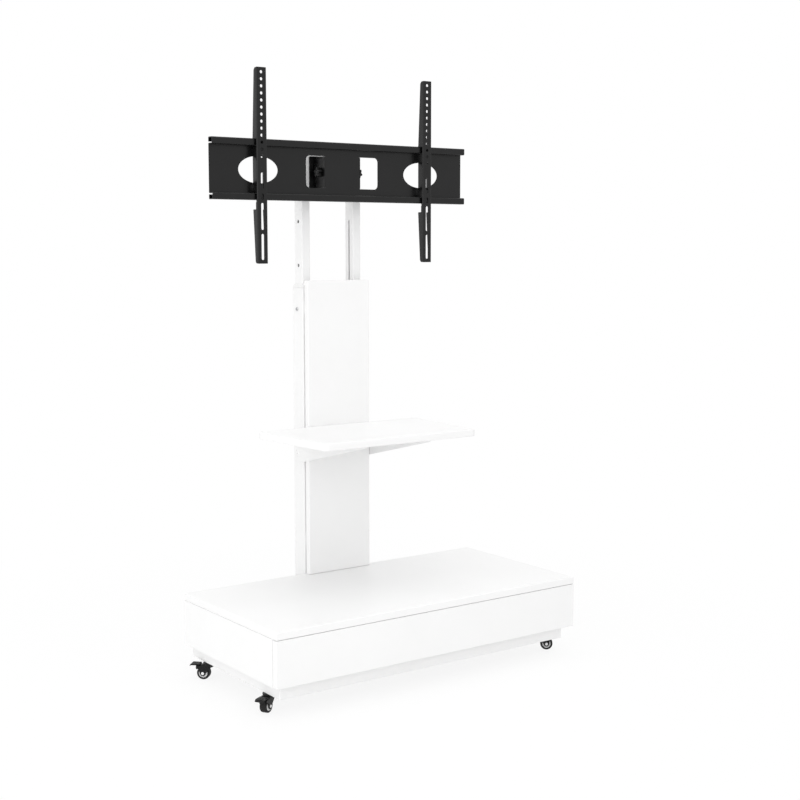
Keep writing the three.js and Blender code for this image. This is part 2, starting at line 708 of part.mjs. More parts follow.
// Window between a cheek and the web beyond it: square at the cheek's fold, round at its far end.
function windowOutline(side) {
  const { half, halfHeight, corner } = WINDOW;
  const fold = side * (CHEEK_HALF - SHEET);
  const low = PLATE_MIDDLE - halfHeight;
  const high = PLATE_MIDDLE + halfHeight;
  const shape = new THREE.Shape();
  shape.moveTo(fold, low);
  shape.lineTo(side * (half - corner), low);
  shape.quadraticCurveTo(side * half, low, side * half, low + corner);
  shape.lineTo(side * half, high - corner);
  shape.quadraticCurveTo(side * half, high, side * (half - corner), high);
  shape.lineTo(fold, high);
  shape.closePath();
  return shape;
}

// Cheek seen from the side: as high as the window, with its rear corners rounded off
// so that it clears the bracket when the head tilts.
function cheekOutline() {
  const top = WINDOW.halfHeight - 1;
  const round = 6;
  const rear = PLATE_BACK + CHEEK_DEPTH;
  const shape = new THREE.Shape();
  shape.moveTo(PLATE_BACK - SHEET, TILT.z - top);
  shape.lineTo(rear - round, TILT.z - top);
  shape.quadraticCurveTo(rear, TILT.z - top, rear, TILT.z - top + round);
  shape.lineTo(rear, TILT.z + top - round);
  shape.quadraticCurveTo(rear, TILT.z + top, rear - round, TILT.z + top);
  shape.lineTo(PLATE_BACK - SHEET, TILT.z + top);
  shape.closePath();
  return shape;
}

function arms() {
  const group = new THREE.Group();
  for (const [side, name] of SIDES) {
    const arm = new THREE.Group();
    arm.position.x = side * ARM_X;
    piece(`arm_${name}`, screenArm(), BLACK_STEEL, arm);
    piece(`arm_hook_${name}`, armHook(), BLACK_STEEL, arm);
    piece(`arm_clip_${name}`, armClip(), BLACK_STEEL, arm);
    group.add(arm);
  }
  return group;
}

// Channel arm: a front face with holes and slots, and two side flanges.
function screenArm() {
  const bottom = ARM_TOP - ARM_LENGTH;
  const face = rectangle(-ARM_HALF, ARM_HALF, bottom, ARM_TOP, 2.5);
  for (let i = 0; i < ARM_HOLES; i += 1) {
    const z = ARM_TOP - ARM_FIRST_HOLE - i * ARM_HOLE_PITCH;
    face.holes.push(circle(0, z, ARM_HOLE));
  }
  for (const [low, high] of ARM_SLOTS) {
    face.holes.push(slot(0, low + ARM_HOLE, high - ARM_HOLE, ARM_HOLE));
  }
  const front = alongY(face, ARM_FRONT, ARM_FRONT + SHEET, 0, 4);
  const flanges = [LEFT, RIGHT].map((side) => {
    const x0 = side === LEFT ? -ARM_HALF : ARM_HALF - SHEET;
    return alongX(flangeOutline(bottom), x0, x0 + SHEET, 0, 3);
  });
  return join(front, ...flanges);
}

// Flange seen from the side: deepest at the rails, cut away round each rail, slim at both ends.
function flangeOutline(bottom) {
  const root = ARM_FRONT + 1;
  const behindFace = ARM_FRONT + SHEET;
  const slim = ARM_FRONT + FLANGE.slim;
  const low = ARM_FRONT + FLANGE.low;
  const deep = ARM_FRONT + FLANGE.deep;
  const [webLow, webHigh] = FLANGE_AT_WEB;
  const shape = new THREE.Shape();
  shape.moveTo(root, bottom + 2.5);
  shape.lineTo(slim - 3, bottom + 1);
  shape.lineTo(slim, bottom + 5);
  shape.lineTo(deep, FLANGE_STEP);
  shape.lineTo(low, FLANGE_STEP);
  shape.lineTo(low, RAIL_BOTTOM - 6);
  shape.lineTo(behindFace, RAIL_BOTTOM - 1);
  shape.lineTo(behindFace, webLow);
  shape.lineTo(deep, webLow);
  shape.lineTo(deep, webHigh);
  shape.lineTo(behindFace, webHigh);
  shape.lineTo(behindFace, RAIL_TOP + SEAT);
  shape.lineTo(deep, RAIL_TOP + SEAT);
  shape.lineTo(slim, ARM_TOP - 6);
  shape.lineTo(slim - 4, ARM_TOP - 1);
  shape.lineTo(root, ARM_TOP - 2.5);
  shape.closePath();
  return shape;
}

// Steel hook inside the arm, with its screw: over the upper rail and down behind its back lip.
function armHook() {
  const thickness = 2.5;
  const leg = ARM_FRONT + SHEET + SEAT + thickness / 2;
  const over = RAIL_TOP + SEAT + thickness / 2;
  const behind = PLATE_BACK + SEAT + thickness / 2;
  const hole = ARM_TOP - ARM_FIRST_HOLE - HOOK_HOLE * ARM_HOLE_PITCH;
  const bend = [[leg, hole - 8], [leg, over], [behind, over], [behind, RAIL_TOP - 8]];
  return join(alongX(bentSheet(bend, thickness, 2), -8, 8), armScrew(hole, leg));
}

// Clip inside the arm, with its screw and a tongue under the lower rail.
function armClip() {
  const leg = ARM_FRONT + SHEET + SEAT + SHEET / 2;
  const under = RAIL_BOTTOM - SEAT - SHEET / 2;
  const strip = bentSheet([[leg, RAIL_BOTTOM + 20], [leg, under], [RAIL_FRONT + 8, under]], SHEET, 2);
  return join(alongX(strip, -7, 7), armScrew(RAIL_BOTTOM + 5, leg));
}

// Sunk screw through a hole of the arm's face into the hook or clip behind it.
function armScrew(z, back) {
  const socket = facingY(turned([[0, -1], [1.4, -1], [1.4, 1.2], [0, 1.2]], 6)).translate(0, ARM_FRONT, z);
  return cut(rod('y', 0, z, ARM_FRONT, back, 3), socket);
}

// Casters. Each is made about its own swivel axis with the wheel trailing towards +X.
function casters() {
  const group = new THREE.Group();
  const places = [
    { name: 'front_left', x: -CASTER_X, y: CASTER_FRONT, heading: 210, braked: true },
    { name: 'front_right', x: CASTER_X, y: CASTER_FRONT, heading: 321, braked: false },
    { name: 'back_left', x: -CASTER_X, y: CASTER_BACK, heading: 134, braked: true },
    { name: 'back_right', x: CASTER_X, y: CASTER_BACK, heading: 36, braked: false },
  ];
  for (const { name, x, y, heading, braked } of places) {
    const caster = new THREE.Group();
    caster.position.set(x, y, 0);
    caster.rotation.z = THREE.MathUtils.degToRad(heading);
    piece(`caster_pin_${name}`, casterPin(), BLACK_STEEL, caster);
    piece(`fork_${name}`, fork(braked), BLACK_PLASTIC, caster);
    piece(`tyre_${name}`, tyre(), TYRE_BLACK, caster);
    piece(`wheel_${name}`, wheelCore(), WHEEL_WHITE, caster);
    if (braked) {
      piece(`brake_${name}`, brakeLever(), BLACK_PLASTIC, caster);
    }
    group.add(caster);
  }
  return group;
}

// Pin with a flange under the batten, a threaded stem above it and a riveted head below.
function casterPin() {
  const flangeTop = PLINTH_BOTTOM - SEAT;
  return turned([
    [0, 30.4],
    [6, 30.4],
    [6, 32],
    [3.7, 32],
    [3.7, flangeTop - 2.1],
    [12.2, flangeTop - 2.1],
    [10, flangeTop],
    [STEM_RADIUS, flangeTop],
    [STEM_RADIUS, STEM_TOP],
    [0, STEM_TOP],
  ], 12);
}

// Swivel housing with two legs down to the axle, hollow for the wheel and the pin's head.
// A braked fork carries the lever's rivet behind the wheel.
function fork(braked) {
  const housing = turned([[0, 27.4], [7.8, 27.4], [12, 31], [12.2, 35.2], [11.4, 36.2], [0, 36.2]], 14);
  const side = new THREE.Shape();
  side.moveTo(-4, 26);
  side.lineTo(-1, 33.5);
  side.lineTo(20, 33.5);
  if (braked) {
    side.lineTo(28, 31);
    side.lineTo(28, 25.5);
    side.lineTo(22, 24);
  } else {
    side.lineTo(21.5, 30);
  }
  side.lineTo(TRAIL + 6.3, WHEEL_RADIUS - 1);
  side.absarc(TRAIL, WHEEL_RADIUS, 6.3, 0, -Math.PI, true);
  side.closePath();
  const legs = alongY(side, -LEG_OUTER, LEG_OUTER, 0, 3);
  const room = WHEEL_WIDTH / 2 + 0.6;
  const wheelRoom = rod('y', TRAIL, WHEEL_RADIUS, -room, room, WHEEL_RADIUS + 1.6, 16);
  const below = alongY(rectangle(TRAIL - 40, TRAIL + 40, -10, WHEEL_RADIUS), -room, room);
  const behind = alongY(rectangle(SHOE_FRONT - 1, 40, 0, 40), -room, room);
  const axle = rod('y', TRAIL, WHEEL_RADIUS, -LEG_OUTER - 1, LEG_OUTER + 1, 2.5);
  const rivet = rod('y', RIVET.x, RIVET.z, -LEG_OUTER - 1, LEG_OUTER + 1, 1.9, 8);
  const pinRoom = turned([[0, 20], [6.6, 20], [6.6, 32.4], [4, 32.4], [4, 40], [0, 40]], 10);
  return cut(join(housing, legs), wheelRoom, below, behind, axle, rivet, pinRoom);
}

function aroundAxle(profile, sides) {
  return facingY(turned(profile, sides)).translate(TRAIL, 0, WHEEL_RADIUS);
}

function tyre() {
  const half = WHEEL_WIDTH / 2;
  const bore = 10;
  return aroundAxle([
    [bore, -half + 0.4],
    [WHEEL_RADIUS - 2, -half],
    [WHEEL_RADIUS, -half + 2.4],
    [WHEEL_RADIUS, half - 2.4],
    [WHEEL_RADIUS - 2, half],
    [bore, half - 0.4],
    [bore, -half + 0.4],
  ], 20);
}

// Wheel core with a dished face on both sides, and its axle with a cap outside each leg.
function wheelCore() {
  const rim = 9.6;
  const half = WHEEL_WIDTH / 2 - 0.2;
  const cap = LEG_OUTER + SEAT;
  const axle = 2.1;
  const right = [
    [rim, half],
    [rim - 2, half - 1.4],
    [axle, half - 1.4],
    [axle, cap],
    [3.3, cap],
    [2.7, cap + 1.2],
    [0, cap + 1.2],
  ];
  const left = right.map(([radius, height]) => [radius, -height]).reverse();
  return aroundAxle([...left, ...right], 12);
}

// Brake lever: a pedal over the fork's back, a shoe that swings in against the tyre,
// and the rivet that both turn on.
function brakeLever() {
  const { root, tip, half, under, top } = PEDAL;
  const pedal = outline([
    [root, under],
    [tip - 3, under - 0.4],
    [tip, under - 2.6],
    [tip, under - 0.4],
    [tip - 3, top],
    [root, top],
  ]);
  const shoe = outline([
    [SHOE_FRONT + 2.3, 22],
    [SHOE_FRONT + 5, 22],
    [SHOE_FRONT + 5, under + 1],
    [SHOE_FRONT, under + 1],
    [SHOE_FRONT, 28],
  ]);
  const rivet = rod('y', RIVET.x, RIVET.z, -LEG_OUTER, LEG_OUTER, 1.5, 8);
  return join(alongY(pedal, -half, half, 0.5), alongY(shoe, -5.5, 5.5), rivet);
}

const stand = new THREE.Group();
stand.name = 'tv_stand_with_mount';
stand.add(cabinet(), drawer(), column(), shelf(), mast(), head(), arms(), casters());

export default stand;
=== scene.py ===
import json
import math

import bmesh
import bpy
from mathutils import Matrix, Vector

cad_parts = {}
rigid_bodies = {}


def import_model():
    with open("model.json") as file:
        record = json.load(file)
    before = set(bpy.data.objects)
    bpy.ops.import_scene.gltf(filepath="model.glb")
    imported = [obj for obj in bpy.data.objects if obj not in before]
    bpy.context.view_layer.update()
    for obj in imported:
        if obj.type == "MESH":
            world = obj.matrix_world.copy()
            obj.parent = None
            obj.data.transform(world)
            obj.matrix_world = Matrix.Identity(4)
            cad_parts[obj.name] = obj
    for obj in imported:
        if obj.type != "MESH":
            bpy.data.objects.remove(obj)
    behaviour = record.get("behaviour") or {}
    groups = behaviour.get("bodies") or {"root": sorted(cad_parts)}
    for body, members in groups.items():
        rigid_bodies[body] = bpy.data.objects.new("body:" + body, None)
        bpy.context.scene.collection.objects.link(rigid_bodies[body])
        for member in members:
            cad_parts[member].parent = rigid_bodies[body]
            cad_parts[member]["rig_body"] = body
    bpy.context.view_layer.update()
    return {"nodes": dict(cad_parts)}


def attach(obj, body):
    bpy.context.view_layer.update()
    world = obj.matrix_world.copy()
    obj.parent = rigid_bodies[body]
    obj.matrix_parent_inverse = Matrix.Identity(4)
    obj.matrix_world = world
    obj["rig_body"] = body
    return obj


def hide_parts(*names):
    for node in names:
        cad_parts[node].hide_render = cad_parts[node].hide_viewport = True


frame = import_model()

# Shapes are made in millimetres and scaled to metres when they are placed.
MM = 0.001
LEFT, RIGHT = -1, 1
SIDES = ((LEFT, "left"), (RIGHT, "right"))


# Materials

NOISE_RANGE = (0.3, 0.7)  # what a noise texture mostly stays within


def node_material(name, base, roughness, metallic, specular):
    material = bpy.data.materials.new(name)
    material.use_nodes = True
    shader = material.node_tree.nodes["Principled BSDF"]
    shader.inputs["Base Color"].default_value = (*base, 1)
    shader.inputs["Roughness"].default_value = roughness
    shader.inputs["Metallic"].default_value = metallic
    shader.inputs["Specular IOR Level"].default_value = specular
    return material, shader


def noise(tree, scale, detail=2.0, roughness=0.5):
    where = tree.nodes.new("ShaderNodeTexCoord")
    texture = tree.nodes.new("ShaderNodeTexNoise")
    texture.inputs["Scale"].default_value = scale
    texture.inputs["Detail"].default_value = detail
    texture.inputs["Roughness"].default_value = roughness
    tree.links.new(where.outputs["Object"], texture.inputs["Vector"])
    return texture.outputs["Fac"]


def between(tree, fac, low, high):
    """Spreads a noise over the values from low to high."""
    ramp = tree.nodes.new("ShaderNodeMapRange")
    ramp.inputs["From Min"].default_value = NOISE_RANGE[0]
    ramp.inputs["From Max"].default_value = NOISE_RANGE[1]
    ramp.inputs["To Min"].default_value = low
    ramp.inputs["To Max"].default_value = high
    tree.links.new(fac, ramp.inputs["Value"])
    return ramp.outputs["Result"]


def mixed(tree, fac, low, high):
    mix = tree.nodes.new("ShaderNodeMix")
    mix.data_type = "RGBA"
    mix.inputs["A"].default_value = (*low, 1)
    mix.inputs["B"].default_value = (*high, 1)
    tree.links.new(fac, mix.inputs["Factor"])
    return mix.outputs["Result"]


def bumps(tree, shader, height, distance):
    bump = tree.nodes.new("ShaderNodeBump")
    bump.inputs["Distance"].default_value = distance
    bump.inputs["Strength"].default_value = 1.0
    tree.links.new(height, bump.inputs["Height"])
    tree.links.new(bump.outputs["Normal"], shader.inputs["Normal"])


def coated(name, colours, rough, cloud, grain, depth, metallic=0.0, specular=0.5):
    """A coat whose colour and gloss drift over the surface, with a fine grain in its relief.

    cloud and grain are the noises' scales, and depth is the grain's height in metres.
    """
    material, shader = node_material(name, colours[0], rough[0], metallic, specular)
    tree = material.node_tree
    drift = noise(tree, cloud, detail=3.0)
    tree.links.new(mixed(tree, between(tree, drift, 0, 1), *colours), shader.inputs["Base Color"])
    tree.links.new(between(tree, drift, *rough), shader.inputs["Roughness"])
    bumps(tree, shader, noise(tree, grain, roughness=0.6), depth)
    return material


LOOKS = {
    "board_white": coated(
        "white_lacquer", colours=((0.895, 0.895, 0.893), (0.91, 0.91, 0.909)),
        rough=(0.3, 0.38), cloud=9, grain=700, depth=0.00004, specular=0.4,
    ),
    "steel_white": coated(
        "white_powder_coat", colours=((0.885, 0.885, 0.883), (0.9, 0.9, 0.899)),
        rough=(0.42, 0.52), cloud=20, grain=1500, depth=0.00006, specular=0.4,
    ),
    "plastic_white": coated(
        "white_plastic", colours=((0.87, 0.87, 0.866), (0.885, 0.885, 0.881)),
        rough=(0.38, 0.46), cloud=40, grain=2200, depth=0.00002, specular=0.4,
    ),
    "steel_black": coated(
        "black_powder_coat", colours=((0.0022, 0.0022, 0.0024), (0.0038, 0.0038, 0.004)),
        rough=(0.26, 0.34), cloud=25, grain=1500, depth=0.00005, specular=0.34,
    ),
    "plastic_black": coated(
        "black_plastic", colours=((0.0025, 0.0025, 0.0026), (0.004, 0.004, 0.0042)),
        rough=(0.36, 0.46), cloud=60, grain=2400, depth=0.00003, specular=0.25,
    ),
    "tyre_black": coated(
        "tyre_rubber", colours=((0.008, 0.008, 0.008), (0.013, 0.013, 0.013)),
        rough=(0.55, 0.7), cloud=80, grain=1800, depth=0.00006, specular=0.25,
    ),
    "wheel_white": coated(
        "wheel_core_plastic", colours=((0.9, 0.9, 0.9), (0.92, 0.92, 0.918)),
        rough=(0.22, 0.3), cloud=80, grain=1500, depth=0.00001,
    ),
    "zinc": coated(
        "zinc_plate", colours=((0.5, 0.51, 0.53), (0.6, 0.6, 0.6)),
        rough=(0.24, 0.38), cloud=150, grain=2600, depth=0.00002, metallic=1.0,
    ),
}


# Meshes

def in_scene(data):
    obj = bpy.data.objects.new("work", data)
    bpy.context.scene.collection.objects.link(obj)
    return obj


def result_of(obj):
    """The object's mesh with its modifiers applied; the object is removed."""
    bpy.context.view_layer.update()
    shown = obj.evaluated_get(bpy.context.evaluated_depsgraph_get())
    mesh = bpy.data.meshes.new_from_object(shown)
    bpy.data.objects.remove(obj)
    return mesh


def mesh_of(bm):
    mesh = bpy.data.meshes.new("work")
    bm.to_mesh(mesh)
    bm.free()
    return mesh


def from_bmesh(bm):
    """The finished mesh, its faces turned outwards."""
    bmesh.ops.recalc_face_normals(bm, faces=bm.faces)
    return mesh_of(bm)


def together(*meshes):
    """One mesh that holds all the given ones."""
    bm = bmesh.new()
    for mesh in meshes:
        bm.from_mesh(mesh)
    return mesh_of(bm)


def combined(mesh, tools, operation):
    for tool in tools:
        target, other = in_scene(mesh), in_scene(tool)
        change = target.modifiers.new("boolean", "BOOLEAN")
        change.object = other
        change.operation = operation
        change.solver = "EXACT"
        mesh = result_of(target)
        bpy.data.objects.remove(other)
    return mesh


def cut(mesh, *tools):
    return combined(mesh, tools, "DIFFERENCE")


def joined(mesh, *others):
    return combined(mesh, others, "UNION")


SHORT_EDGE = 0.02  # a boolean's leftover edges are shorter
FLAT_ANGLE = math.radians(1.5)
CLAMPED_BEVEL = 0.002  # a bevel narrower than this has no room and is closed again


def merged(mesh):
    """The mesh without what booleans leave behind: short edges and cuts across flat faces."""
    bm = bmesh.new()
    bm.from_mesh(mesh)
    bmesh.ops.remove_doubles(bm, verts=bm.verts, dist=SHORT_EDGE)
    bmesh.ops.dissolve_limit(
        bm, angle_limit=FLAT_ANGLE, verts=bm.verts, edges=bm.edges, use_dissolve_boundaries=False
    )
    return from_bmesh(bm)


def softened(mesh, width, angle=32):
    """The mesh with its edges sharper than the angle rounded and its flat faces kept flat."""
    work = in_scene(merged(mesh))
    bevel = work.modifiers.new("bevel", "BEVEL")
    bevel.width = width
    bevel.segments = 2
    bevel.limit_method = "ANGLE"
    bevel.angle_limit = math.radians(angle)
    bevel.use_clamp_overlap = True
    bm = bmesh.new()
    bm.from_mesh(result_of(work))
    bmesh.ops.remove_doubles(bm, verts=bm.verts, dist=CLAMPED_BEVEL)
    bmesh.ops.dissolve_degenerate(bm, dist=CLAMPED_BEVEL, edges=bm.edges)
    return from_bmesh(bm)


# Outlines, as lists of points

def rounded(points, radius=0.0, steps=5):
    """A closed outline with round corners; a point may have its own radius as a third number."""
    line = []
    for i, corner in enumerate(points):
        here = Vector(corner[:2])
        r = corner[2] if len(corner) > 2 else radius
        before = (Vector(points[i - 1][:2]) - here).normalized()
        after = (Vector(points[(i + 1) % len(points)][:2]) - here).normalized()
        if r <= 0:
            line.append(tuple(here))
            continue
        angle = before.angle(after)
        reach = r / math.tan(angle / 2)
        centre = here + (before + after).normalized() * (r / math.sin(angle / 2))
        start = here + before * reach - centre
        end = here + after * reach - centre
        sweep = math.atan2(start.x * end.y - start.y * end.x, start.dot(end))
        for k in range(steps + 1):
            line.append(tuple(centre + Matrix.Rotation(sweep * k / steps, 2) @ start))
    return line


def rectangle(x0, x1, y0, y1, radius=0.0):
    return rounded([(x0, y0), (x1, y0), (x1, y1), (x0, y1)], radius)


def full_turn(steps):
    return [2 * math.pi * k / steps for k in range(steps)]


def ellipse(x, y, rx, ry, steps):
    return [(x + rx * math.cos(a), y + ry * math.sin(a)) for a in full_turn(steps)]


def circle(x, y, radius, steps):
    return ellipse(x, y, radius, radius, steps)


def slot(x, y0, y1, half_width, steps=14):
    """A slot that stands upright; y0 and y1 are the middles of its round ends."""
    ends = [(y0, math.pi + math.pi * k / steps) for k in range(steps + 1)]
    ends += [(y1, math.pi * k / steps) for k in range(steps + 1)]
    return [(x + half_width * math.cos(a), y + half_width * math.sin(a)) for y, a in ends]


BEND_LEG = 50  # how much of the straight stretches a bend looks at


def bent(points, thickness, radius):
    """The outline of a bent strip of sheet whose middle line runs through the points."""
    line = [Vector(points[0])]
    for i in range(1, len(points) - 1):
        here = Vector(points[i])
        before = here + (Vector(points[i - 1]) - here).normalized() * BEND_LEG
        after = here + (Vector(points[i + 1]) - here).normalized() * BEND_LEG
        arc = rounded([tuple(before), (*here, radius), tuple(after)], steps=6)
        line += [Vector(p) for p in arc[1:-1]]
    line.append(Vector(points[-1]))
    left, right = [], []
    for i, point in enumerate(line):
        along = (line[min(i + 1, len(line) - 1)] - line[max(i - 1, 0)]).normalized()
        side = Vector((-along.y, along.x)) * thickness / 2
        left.append(tuple(point + side))
        right.insert(0, tuple(point - side))
    return left + right


# Plates and round forms

WELD = 0.001
ON_AXIS = 1e-6

# Turns a shape made along Z so that its plan lies across another axis.
ACROSS_X = Matrix(((0, 0, 1, 0), (1, 0, 0, 0), (0, 1, 0, 0), (0, 0, 0, 1)))
ACROSS_Y = Matrix(((1, 0, 0, 0), (0, 0, -1, 0), (0, 1, 0, 0), (0, 0, 0, 1)))


def plate(outline, holes, low, high, edge=0.0, rounding=2):
    """A flat plate with holes between two heights along Z; edge is the radius of its rims."""
    curve = bpy.data.curves.new("work", "CURVE")
    curve.dimensions = "2D"
    curve.fill_mode = "BOTH"
    curve.extrude = (high - low) / 2 - edge
    curve.bevel_depth = edge
    curve.bevel_resolution = rounding
    curve.offset = -edge
    for loop in (outline, *holes):
        spline = curve.splines.new("POLY")
        spline.points.add(len(loop) - 1)
        for point, (x, y) in zip(spline.points, loop):
            point.co = (x, y, 0, 1)
        spline.use_cyclic_u = True
    bm = bmesh.new()
    bm.from_mesh(result_of(in_scene(curve)))
    bpy.data.curves.remove(curve)
    bmesh.ops.remove_doubles(bm, verts=bm.verts, dist=WELD)
    bmesh.ops.translate(bm, verts=bm.verts, vec=(0, 0, (low + high) / 2))
    return from_bmesh(bm)


def moved(mesh, matrix):
    copy = mesh.copy()
    copy.transform(matrix)
    if matrix.to_3x3().determinant() < 0:
        copy.flip_normals()
    return copy


def plate_x(outline, holes, low, high, edge=0.0, rounding=2):
    """A plate whose outline is in Y and Z, between two places along X."""
    return moved(plate(outline, holes, low, high, edge, rounding), ACROSS_X)


def plate_y(outline, holes, low, high, edge=0.0, rounding=2):
    """A plate whose outline is in X and Z, between two places along Y."""
    return moved(plate(outline, holes, -high, -low, edge, rounding), ACROSS_Y)


def bridged(bm, rings, steps):
    """Makes the faces between neighbouring rings; a ring may also be a single point."""
    for low, high in zip(rings, rings[1:]):
        for k in range(steps):
            n = (k + 1) % steps
            face = [
                low[k % len(low)], low[n % len(low)], high[n % len(high)], high[k % len(high)]
            ]
            corners = list(dict.fromkeys(face))
            if len(corners) > 2:
                bm.faces.new(corners)


def revolved(profile, steps=48):
    """A round form about Z from its profile of radius and height."""
    bm = bmesh.new()
    rings = []
    for radius, height in profile:
        if radius < ON_AXIS:
            rings.append([bm.verts.new((0, 0, height))])
            continue
        rings.append([
            bm.verts.new((radius * math.cos(a), radius * math.sin(a), height))
            for a in full_turn(steps)
        ])
    bridged(bm, rings, steps)
    return from_bmesh(bm)


def mirrored(right):
    """A profile's points for both halves, from those of its right half."""
    return [*[(radius, -height) for radius, height in right][::-1], *right]


def shift(x=0.0, y=0.0, z=0.0):
    return Matrix.Translation((x, y, z))


def point_x(side=RIGHT):
    """Turns a form made about Z so that its height runs along X."""
    return Matrix.Rotation(side * math.pi / 2, 4, "Y")


def point_y():
    """Turns a form made about Z so that its height runs along Y."""
    return Matrix.Rotation(-math.pi / 2, 4, "X")


def rod(start, end, radius, steps):
    return revolved([(0, start), (radius, start), (radius, end), (0, end)], steps)


def rod_x(y, z, start, end, radius, steps=32):
    return moved(rod(start, end, radius, steps), shift(0, y, z) @ point_x())


def rod_y(x, z, start, end, radius, steps=32):
    return moved(rod(start, end, radius, steps), shift(x, 0, z) @ point_y())


# Placing

SHARP_ANGLE = math.radians(30)  # sharper edges are shaded as edges


def place(name, mesh, look, nodes=(), body=None, matrix=None):
    """Puts a finished mesh in the scene: scaled to metres, shaded, and riding on its body."""
    if matrix is not None:
        mesh = moved(mesh, matrix)
    mesh = moved(mesh, Matrix.Scale(MM, 4))
    mesh.name = name
    for face in mesh.polygons:
        face.use_smooth = True
    mesh.set_sharp_from_angle(angle=SHARP_ANGLE)
    mesh.materials.clear()
    mesh.materials.append(LOOKS[look])
    obj = bpy.data.objects.new(name, mesh)
    bpy.context.scene.collection.objects.link(obj)
    flat = obj.modifiers.new("flat_faces", "WEIGHTED_NORMAL")
    flat.weight = 100
    flat.keep_sharp = True
    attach(obj, body or frame["nodes"][nodes[0]]["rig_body"])
    if nodes:
        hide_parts(*nodes)


def node_mesh(node):
    """A CAD node's own shape, in millimetres."""
    return moved(frame["nodes"][node].data, Matrix.Scale(1 / MM, 4))


def soft_nodes(names, look, width):
    """Pieces that keep their node's shape and get finely rounded edges."""
    for name in names:
        place(name + "_piece", softened(node_mesh(name), width), look, [name])


# Cabinet, column panel and shelf board

BOARD_EDGE = 0.35
CARCASS_BOTTOM = 69
TOP_UNDER = 169
INNER_HALF = 384
BASE_HALF = 400
SIDE_FRONT = -204.4
BASE_BACK = 174
DRAWER_SEAM = 0.8
FRONT_RIM = 4  # what is this close to the drawer front's upper edge moves with it
SIDE_SEAM = 0.05
BRACE_EDGE = 0.4
RUNNER_EDGE = 0.2


def drawer_front():
    """The CAD's drawer front, carried up to a fine seam under the top board."""
    mesh = node_mesh("drawer_front")
    upper = max(v.co.z for v in mesh.vertices)
    for v in mesh.vertices:
        if v.co.z > upper - FRONT_RIM:
            v.co.z += TOP_UNDER - DRAWER_SEAM - upper
    return mesh


def side_board(side):
    """A side board without the CAD's groove under the top board."""
    side_view = rectangle(SIDE_FRONT, BASE_BACK, CARCASS_BOTTOM, TOP_UNDER - SIDE_SEAM)
    return plate_x(side_view, [], *sorted((side * INNER_HALF, side * BASE_HALF)))


soft_nodes(
    ["top_board", "bottom_board", "back_board", "plinth", "drawer_left", "drawer_right",
     "drawer_back", "drawer_bottom", "column_panel", "shelf_board"],
    "board_white",
    BOARD_EDGE,
)
front = softened(drawer_front(), BOARD_EDGE)
place("drawer_front_piece", front, "board_white", ["drawer_front"])
for side, name in SIDES:
    board = softened(side_board(side), BOARD_EDGE)
    place(f"side_{name}_piece", board, "board_white", [f"side_{name}"])
soft_nodes(["brace_low", "brace_high"], "steel_white", BRACE_EDGE)
soft_nodes(
    ["runner_left", "runner_right", "drawer_rail_left", "drawer_rail_right"], "zinc", RUNNER_EDGE
)


# Screws

HEAD_RIM = 0.25  # height of a head's straight rim, as a share of the head's height
HEAD_FLAT = 0.52  # radius of the flat on its dome, as a share of the head's radius
SOCKET_FLOOR = 0.35  # height of the socket's floor, as a share of the head's height


def button_head(radius, height, socket):
    """Screw head about Z: a low straight rim, a dome on it and a hexagonal socket."""
    dome = [(0, 0), (radius, 0), (radius, height * HEAD_RIM)]
    dome += [
        (
            radius * (HEAD_FLAT + (1 - HEAD_FLAT) * math.cos(a)),
            height * (HEAD_RIM + (1 - HEAD_RIM) * math.sin(a)),
        )
        for a in [math.pi / 2 * k / 6 for k in range(1, 7)]
    ]
    dome.append((0, height))
    floor, top = height * SOCKET_FLOOR, height + 1
    hexagon = revolved([(0, floor), (socket, floor), (socket, top), (0, top)], 6)
    return cut(revolved(dome, 40), hexagon)


# Posts

POST_X = 70
OUTER = {"half": 15, "front": 176, "back": 221, "low": 70, "high": 852, "wall": 1.5}
INNER = {"half": 11, "front": 184, "back": 217, "low": 560, "high": 1168, "wall": 1.5}
TUBE_CORNER = 2.8
TUBE_RIM = 0.25
MAST_MIDDLE = 200.5
LOCK_HEIGHT = 802.5
HOLE_PITCH = 100
LOCK_STEPS = (-1, 0, 1, 2)  # an inner post's holes, in pitches above the height bolt
LOCK_HOLE = 4  # radius of a height hole in an inner post
BOLT_HOLE = 3.4  # radius of a hole in an outer post
SHELF_BOLTS = (468, 503)
POST_BOLTS = (95, 150)
NUT_FRONT = 151.3
SPACER_FRONT = 174.35
CABLE_SLOT = {"low": INNER["low"] + 30, "high": 1005, "half": 2.25}
DRILL = 4  # how far a tool reaches past a wall's face
HEIGHT_BOLT = {"tip": 81.6, "seat": 85.2, "shank": 2.9}
PLASTIC_EDGE = 0.35


def square_tube(x, size):
    half, wall = size["half"], size["wall"]
    front, back = size["front"], size["back"]
    outer = rectangle(x - half, x + half, front, back, TUBE_CORNER)
    inner = rectangle(
        x - half + wall, x + half - wall, front + wall, back - wall, TUBE_CORNER - wall
    )
    return plate(outer, [inner], size["low"], size["high"], TUBE_RIM, 1)


def post_bolt(x, z):
    """Through bolt: its head behind the post, a spacer before it and a nut in the cabinet."""
    back = OUTER["back"]
    head = button_head(radius=7, height=2.6, socket=2.6)
    spacer = revolved([(0, 0), (8, 0), (8, 1.2), (0, 1.2)])
    nut = revolved([(0, 0), (7.2, 0), (7.5, 0.8), (7.5, 5.6), (7.2, 6.2), (0, 6.2)], 6)
    return together(
        moved(head, shift(x, back - 0.1, z) @ point_y()),
        rod_y(x, z, NUT_FRONT - 1.8, back, 3.9),
        moved(spacer, shift(x, SPACER_FRONT, z) @ point_y()),
        moved(nut, shift(x, NUT_FRONT, z) @ point_y()),
    )


